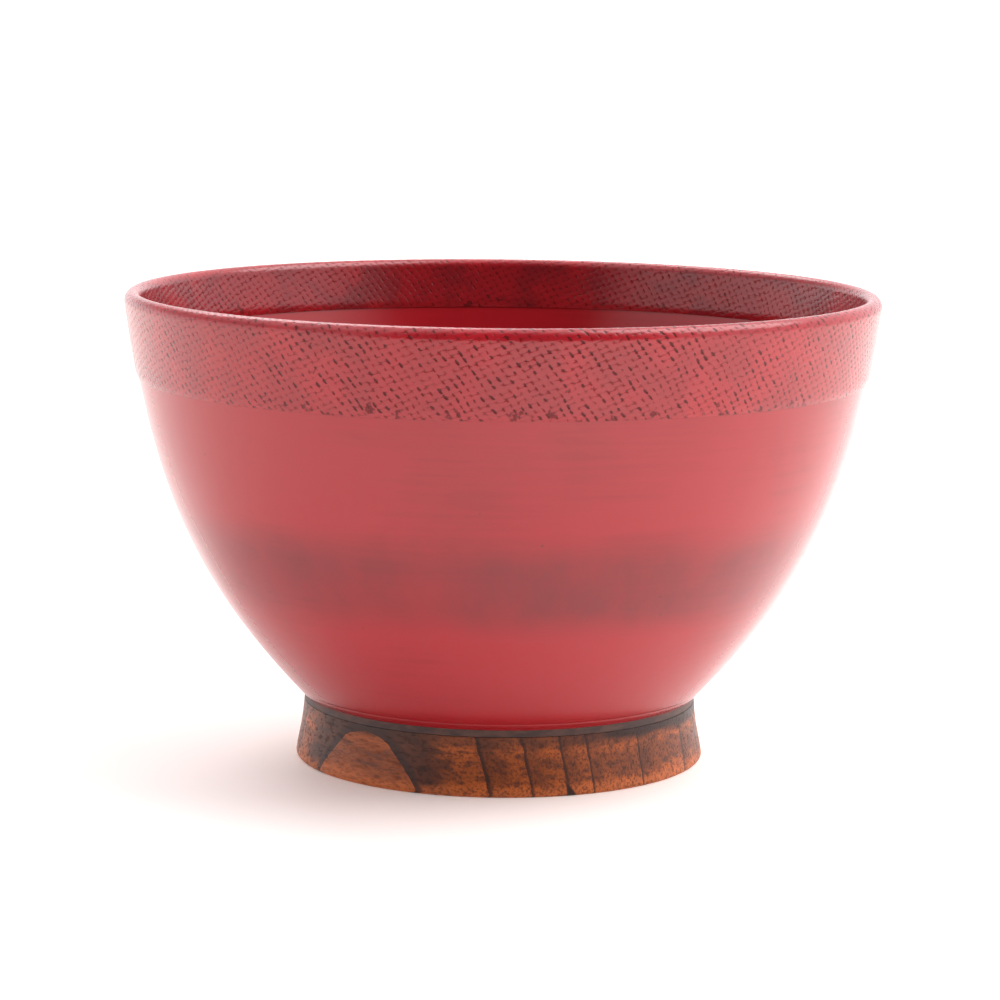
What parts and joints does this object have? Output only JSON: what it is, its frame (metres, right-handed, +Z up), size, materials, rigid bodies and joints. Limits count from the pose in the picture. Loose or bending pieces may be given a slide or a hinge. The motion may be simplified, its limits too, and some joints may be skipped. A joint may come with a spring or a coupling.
{
  "type": "rice bowl",
  "caption": "Footed wooden rice bowl in red lacquer over a dark ground, with a woven cloth strip folded over the lip and a bare wood foot ring.",
  "frame": {"origin": "centre of the foot ring's underside, on the surface that the bowl stands on", "axes": "+Z up along the bowl's axis of revolution; -Y is the side that faces the viewer"},
  "size_m": [0.12, 0.12, 0.075],
  "materials": {
    "core_wood": "turned, open grain, sealed with raw lacquer",
    "foot_wood": "wiped lacquer, satin, dark pores and growth rings",
    "hemp_cloth": "plain weave on the bias, stiff with lacquer",
    "rubbed_lacquer": "satin red lacquer on the weave, rubbed through to the dark ground",
    "ground_coat": "dark brown-black lacquer ground, matt",
    "red_lacquer": "semi-gloss red lacquer with faint brush lines and smoky bands"
  },
  "bodies": {
    "root": {"wood_core": "core_wood", "foot_ring": "foot_wood", "rim_cloth": "hemp_cloth", "rim_lacquer": "rubbed_lacquer", "outer_ground": "ground_coat", "outer_lacquer": "red_lacquer", "inner_ground": "ground_coat", "inner_lacquer": "red_lacquer"}
  },
  "joints": []
}
